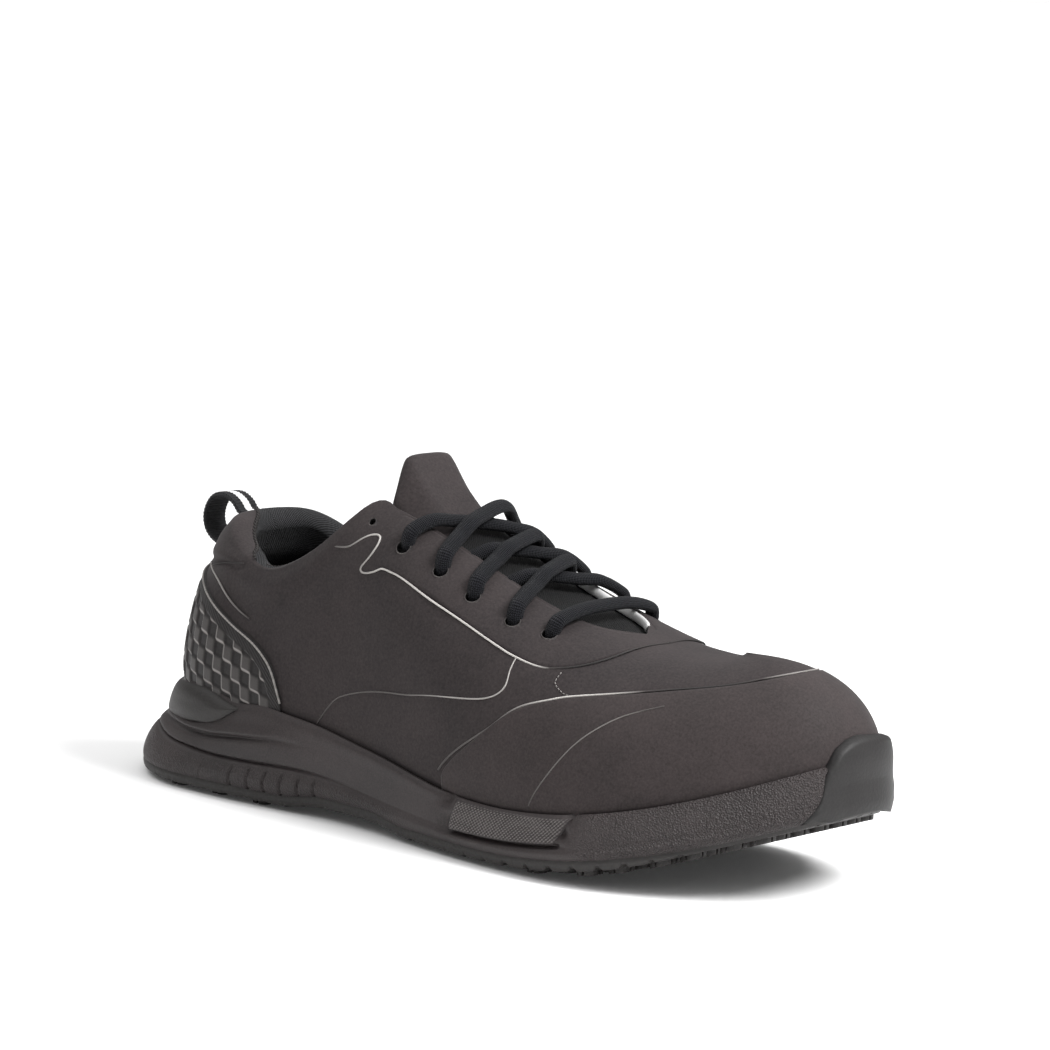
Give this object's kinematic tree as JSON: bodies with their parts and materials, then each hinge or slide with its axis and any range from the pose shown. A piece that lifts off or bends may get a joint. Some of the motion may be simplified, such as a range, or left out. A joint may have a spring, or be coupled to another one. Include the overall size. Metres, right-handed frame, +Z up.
{
  "type": "low-cut safety shoe",
  "caption": "Low-cut lace-up safety shoe in dark grey microfibre with rounded protective toe, padded collar, heel loop and a foam sole with lugged outsole.",
  "frame": {"origin": "bottom centre of the bounding box, on the floor under the shoe", "axes": "+X from heel to toe, +Y to the medial side, +Z up"},
  "size_m": [0.2998, 0.1052, 0.1215],
  "materials": {
    "outsole_rubber": "matte moulded",
    "midsole_foam": "matte moulded foam",
    "upper_microfibre": "matte napped microfibre",
    "overlay_film": "matte welded overlay",
    "lining_textile": "knitted mesh",
    "lace_textile": "braided textile"
  },
  "bodies": {
    "root": {"outsole": "outsole_rubber", "toe_bumper": "outsole_rubber", "midsole": "midsole_foam", "heel_clip": "midsole_foam", "side_insert_lateral": "midsole_foam", "side_insert_medial": "midsole_foam", "upper": "upper_microfibre", "tongue": "upper_microfibre", "counter": "overlay_film", "eyestay": "overlay_film", "toe_guard": "overlay_film", "insole": "lining_textile", "pull_loop": "lace_textile", "lace_bar": "lace_textile", "lace_cross_1": "lace_textile", "lace_cross_2": "lace_textile", "lace_cross_3": "lace_textile"}
  },
  "joints": []
}
